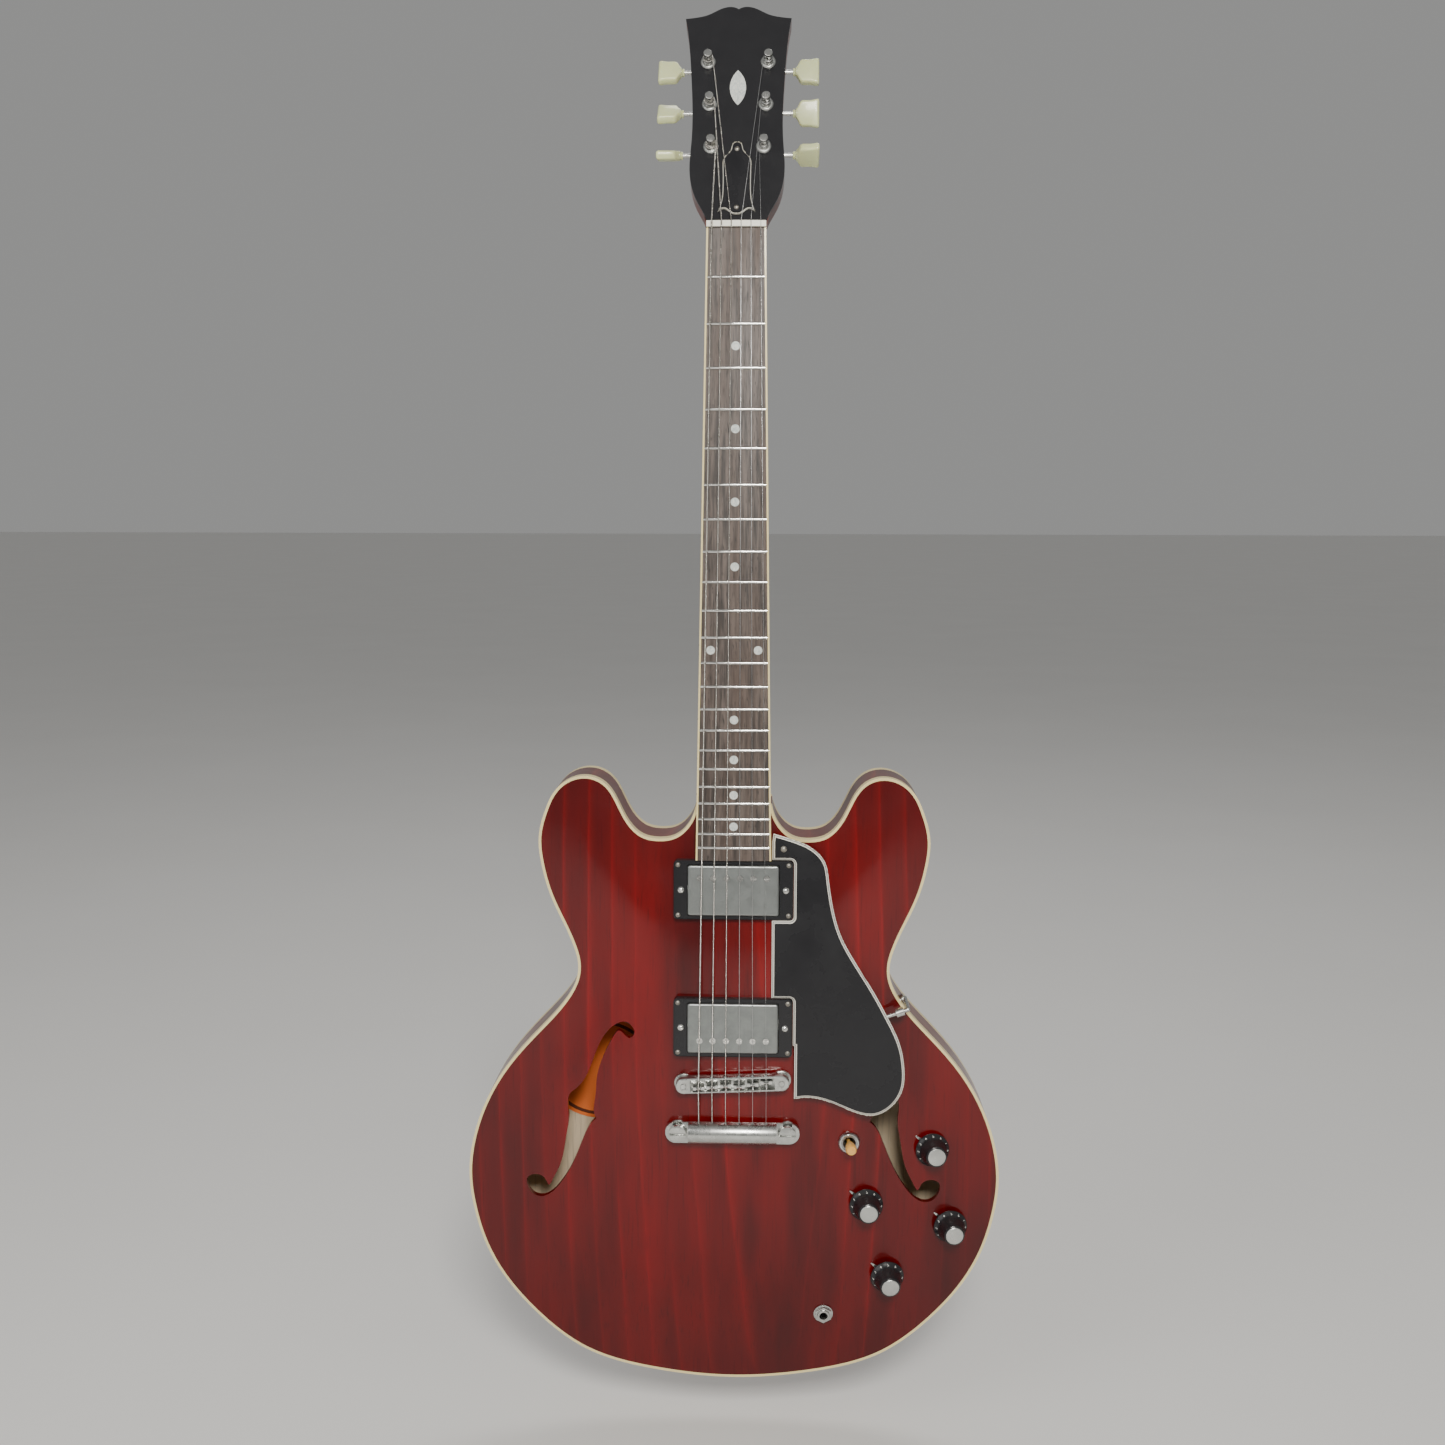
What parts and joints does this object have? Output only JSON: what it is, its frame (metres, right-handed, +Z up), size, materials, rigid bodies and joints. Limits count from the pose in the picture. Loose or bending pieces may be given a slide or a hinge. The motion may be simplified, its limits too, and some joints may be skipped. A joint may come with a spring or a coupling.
{
  "type": "electric guitar",
  "caption": "Semi-hollow double-cutaway electric guitar with arched cherry body, sound holes, two covered pickups, fixed bridge and tailpiece, and geared tuners.",
  "frame": {"origin": "on the centre line at the nut's lower edge, in the glue plane between neck and fingerboard, where a wall hanger's yoke holds the head", "axes": "+Z up the body towards the head, +X to the treble side seen from the front, -Y out of the front of the body"},
  "size_m": [0.4112, 0.127, 1.0629],
  "materials": {
    "cherry_maple": "gloss lacquer over stained figured maple",
    "cherry_mahogany": "gloss lacquer over stained mahogany",
    "pale_maple": "bare wood",
    "rosewood": "oiled, open grain",
    "cream_plastic": "polished",
    "black_lacquer": "gloss",
    "pearl": "polished shell",
    "black_plastic": "moulded",
    "nut_white": "polished",
    "nickel": "aged nickel plate",
    "fret_wire": "polished",
    "string_steel": "drawn and wound",
    "steel": "plain",
    "saddle_brass": "nickel plated brass",
    "amber_plastic": "translucent",
    "knob_plastic": "moulded, metal cap",
    "keystone_plastic": "aged cream, translucent"
  },
  "bodies": {
    "guitar": {"body_top": "cherry_maple", "body_back": "cherry_maple", "body_rim": "cherry_maple", "body_binding": "cream_plastic", "center_block": "pale_maple", "linings": "pale_maple", "neck": "cherry_mahogany", "headstock_veneer": "black_lacquer", "pearl_inlays": "pearl", "truss_rod": "steel", "truss_rod_cover": "black_plastic", "fingerboard": "rosewood", "fingerboard_binding": "cream_plastic", "frets": "fret_wire", "nut": "nut_white", "pickguard": "black_plastic", "pickguard_bracket": "nickel", "strings": "string_steel", "pickup_rings": "black_plastic", "machine_screws": "steel", "wood_screws": "steel", "pickup_springs": "steel", "bridge_posts": "nickel", "bridge_body": "nickel", "tailpiece": "nickel", "tailpiece_studs": "nickel", "strap_buttons": "nickel", "jack_socket": "nickel", "switch_frame": "steel", "pots": "steel", "control_nuts": "nickel", "tuner_housings": "nickel", "tuner_bushings": "nickel"},
    "neck_pickup": {"neck_pickup_cover": "nickel", "neck_pickup_coils": "black_plastic"},
    "bridge_pickup": {"bridge_pickup_cover": "nickel", "bridge_pickup_coils": "black_plastic"},
    "switch": {"switch_lever": "amber_plastic"},
    "knob_1_turning": {"knob_1": "knob_plastic"},
    "knob_2_turning": {"knob_2": "knob_plastic"},
    "knob_3_turning": {"knob_3": "knob_plastic"},
    "knob_4_turning": {"knob_4": "knob_plastic"},
    "tuner_1_key_turning": {"tuner_key_1": "keystone_plastic"},
    "tuner_1_post_turning": {"tuner_post_1": "nickel"},
    "tuner_2_key_turning": {"tuner_key_2": "keystone_plastic"},
    "tuner_2_post_turning": {"tuner_post_2": "nickel"},
    "tuner_3_key_turning": {"tuner_key_3": "keystone_plastic"},
    "tuner_3_post_turning": {"tuner_post_3": "nickel"},
    "tuner_4_key_turning": {"tuner_key_4": "keystone_plastic"},
    "tuner_4_post_turning": {"tuner_post_4": "nickel"},
    "tuner_5_key_turning": {"tuner_key_5": "keystone_plastic"},
    "tuner_5_post_turning": {"tuner_post_5": "nickel"},
    "tuner_6_key_turning": {"tuner_key_6": "keystone_plastic"},
    "tuner_6_post_turning": {"tuner_post_6": "nickel"},
    "saddle_1_slide": {"saddle_1": "saddle_brass"},
    "saddle_2_slide": {"saddle_2": "saddle_brass"},
    "saddle_3_slide": {"saddle_3": "saddle_brass"},
    "saddle_4_slide": {"saddle_4": "saddle_brass"},
    "saddle_5_slide": {"saddle_5": "saddle_brass"},
    "saddle_6_slide": {"saddle_6": "saddle_brass"}
  },
  "joints": [
    {"name": "neck_pickup_height", "type": "slide", "parent": "guitar", "child": "neck_pickup", "axis": [0, -0.998, 0.0628], "range_m": [-0.0025, 0.0025], "deforming": ["pickup_springs"]},
    {"name": "bridge_pickup_height", "type": "slide", "parent": "guitar", "child": "bridge_pickup", "axis": [0, -0.998, 0.0628], "range_m": [-0.0025, 0.0025], "deforming": ["pickup_springs"]},
    {"name": "switch_throw", "type": "hinge", "parent": "guitar", "child": "switch", "pos_m": [0.08839, -0.02466, -0.68015], "axis": [0.9977, 0.0683, -0.001], "range_deg": [-12, 12]},
    {"name": "neck_volume_turn", "type": "hinge", "parent": "guitar", "child": "knob_1_turning", "pos_m": [0.1527, -0.02723, -0.6867], "axis": [0.1228, -0.9917, 0.0378], "range_deg": [0, 280]},
    {"name": "neck_tone_turn", "type": "hinge", "parent": "guitar", "child": "knob_2_turning", "pos_m": [0.1026, -0.03303, -0.7293], "axis": [0.0739, -0.9971, -0.0178], "range_deg": [0, 280]},
    {"name": "bridge_volume_turn", "type": "hinge", "parent": "guitar", "child": "knob_3_turning", "pos_m": [0.1681, -0.0253, -0.7493], "axis": [0.1076, -0.9937, -0.0315], "range_deg": [0, 280]},
    {"name": "bridge_tone_turn", "type": "hinge", "parent": "guitar", "child": "knob_4_turning", "pos_m": [0.12, -0.028, -0.7901], "axis": [0.0959, -0.9912, -0.0908], "range_deg": [0, 280]},
    {"name": "tuner_1_key", "type": "hinge", "parent": "guitar", "child": "tuner_1_key_turning", "pos_m": [-0.01925, 0.04029, 0.05911], "axis": [-1, 0, 0], "continuous": true},
    {"name": "tuner_1_post", "type": "hinge", "parent": "guitar", "child": "tuner_1_post_turning", "pos_m": [-0.01925, 0.02149, 0.06084], "axis": [0, -0.9361, 0.3518], "continuous": true, "deforming": ["strings"]},
    {"name": "tuner_2_key", "type": "hinge", "parent": "guitar", "child": "tuner_2_key_turning", "pos_m": [-0.0207, 0.0525, 0.09159], "axis": [-1, 0, 0], "continuous": true},
    {"name": "tuner_2_post", "type": "hinge", "parent": "guitar", "child": "tuner_2_post_turning", "pos_m": [-0.0207, 0.0337, 0.09332], "axis": [0, -0.9361, 0.3518], "continuous": true, "deforming": ["strings"]},
    {"name": "tuner_3_key", "type": "hinge", "parent": "guitar", "child": "tuner_3_key_turning", "pos_m": [-0.0222, 0.06478, 0.12426], "axis": [-1, 0, 0], "continuous": true},
    {"name": "tuner_3_post", "type": "hinge", "parent": "guitar", "child": "tuner_3_post_turning", "pos_m": [-0.0222, 0.04598, 0.12599], "axis": [0, -0.9361, 0.3518], "continuous": true, "deforming": ["strings"]},
    {"name": "tuner_4_key", "type": "hinge", "parent": "guitar", "child": "tuner_4_key_turning", "pos_m": [0.01925, 0.04029, 0.05911], "axis": [1, 0, 0], "continuous": true},
    {"name": "tuner_4_post", "type": "hinge", "parent": "guitar", "child": "tuner_4_post_turning", "pos_m": [0.01925, 0.02149, 0.06084], "axis": [0, -0.9361, 0.3518], "continuous": true, "deforming": ["strings"]},
    {"name": "tuner_5_key", "type": "hinge", "parent": "guitar", "child": "tuner_5_key_turning", "pos_m": [0.0207, 0.0525, 0.09159], "axis": [1, 0, 0], "continuous": true},
    {"name": "tuner_5_post", "type": "hinge", "parent": "guitar", "child": "tuner_5_post_turning", "pos_m": [0.0207, 0.0337, 0.09332], "axis": [0, -0.9361, 0.3518], "continuous": true, "deforming": ["strings"]},
    {"name": "tuner_6_key", "type": "hinge", "parent": "guitar", "child": "tuner_6_key_turning", "pos_m": [0.0222, 0.06478, 0.12426], "axis": [1, 0, 0], "continuous": true},
    {"name": "tuner_6_post", "type": "hinge", "parent": "guitar", "child": "tuner_6_post_turning", "pos_m": [0.0222, 0.04598, 0.12599], "axis": [0, -0.9361, 0.3518], "continuous": true, "deforming": ["strings"]},
    {"name": "saddle_1_intonation", "type": "slide", "parent": "guitar", "child": "saddle_1_slide", "axis": [-0.0436, 0, 0.999], "range_m": [-0.00065, 0.00405], "deforming": ["strings"]},
    {"name": "saddle_2_intonation", "type": "slide", "parent": "guitar", "child": "saddle_2_slide", "axis": [-0.0436, 0, 0.999], "range_m": [-0.00145, 0.00325], "deforming": ["strings"]},
    {"name": "saddle_3_intonation", "type": "slide", "parent": "guitar", "child": "saddle_3_slide", "axis": [-0.0436, 0, 0.999], "range_m": [-0.00225, 0.00245], "deforming": ["strings"]},
    {"name": "saddle_4_intonation", "type": "slide", "parent": "guitar", "child": "saddle_4_slide", "axis": [-0.0436, 0, 0.999], "range_m": [-0.00145, 0.00325], "deforming": ["strings"]},
    {"name": "saddle_5_intonation", "type": "slide", "parent": "guitar", "child": "saddle_5_slide", "axis": [-0.0436, 0, 0.999], "range_m": [-0.00265, 0.00205], "deforming": ["strings"]},
    {"name": "saddle_6_intonation", "type": "slide", "parent": "guitar", "child": "saddle_6_slide", "axis": [-0.0436, 0, 0.999], "range_m": [-0.00365, 0.00105], "deforming": ["strings"]}
  ],
  "couplings": [
    {"joint": "tuner_1_post", "follows": "tuner_1_key", "ratio": -0.071429},
    {"joint": "tuner_2_post", "follows": "tuner_2_key", "ratio": -0.071429},
    {"joint": "tuner_3_post", "follows": "tuner_3_key", "ratio": -0.071429},
    {"joint": "tuner_4_post", "follows": "tuner_4_key", "ratio": 0.071429},
    {"joint": "tuner_5_post", "follows": "tuner_5_key", "ratio": 0.071429},
    {"joint": "tuner_6_post", "follows": "tuner_6_key", "ratio": 0.071429}
  ]
}
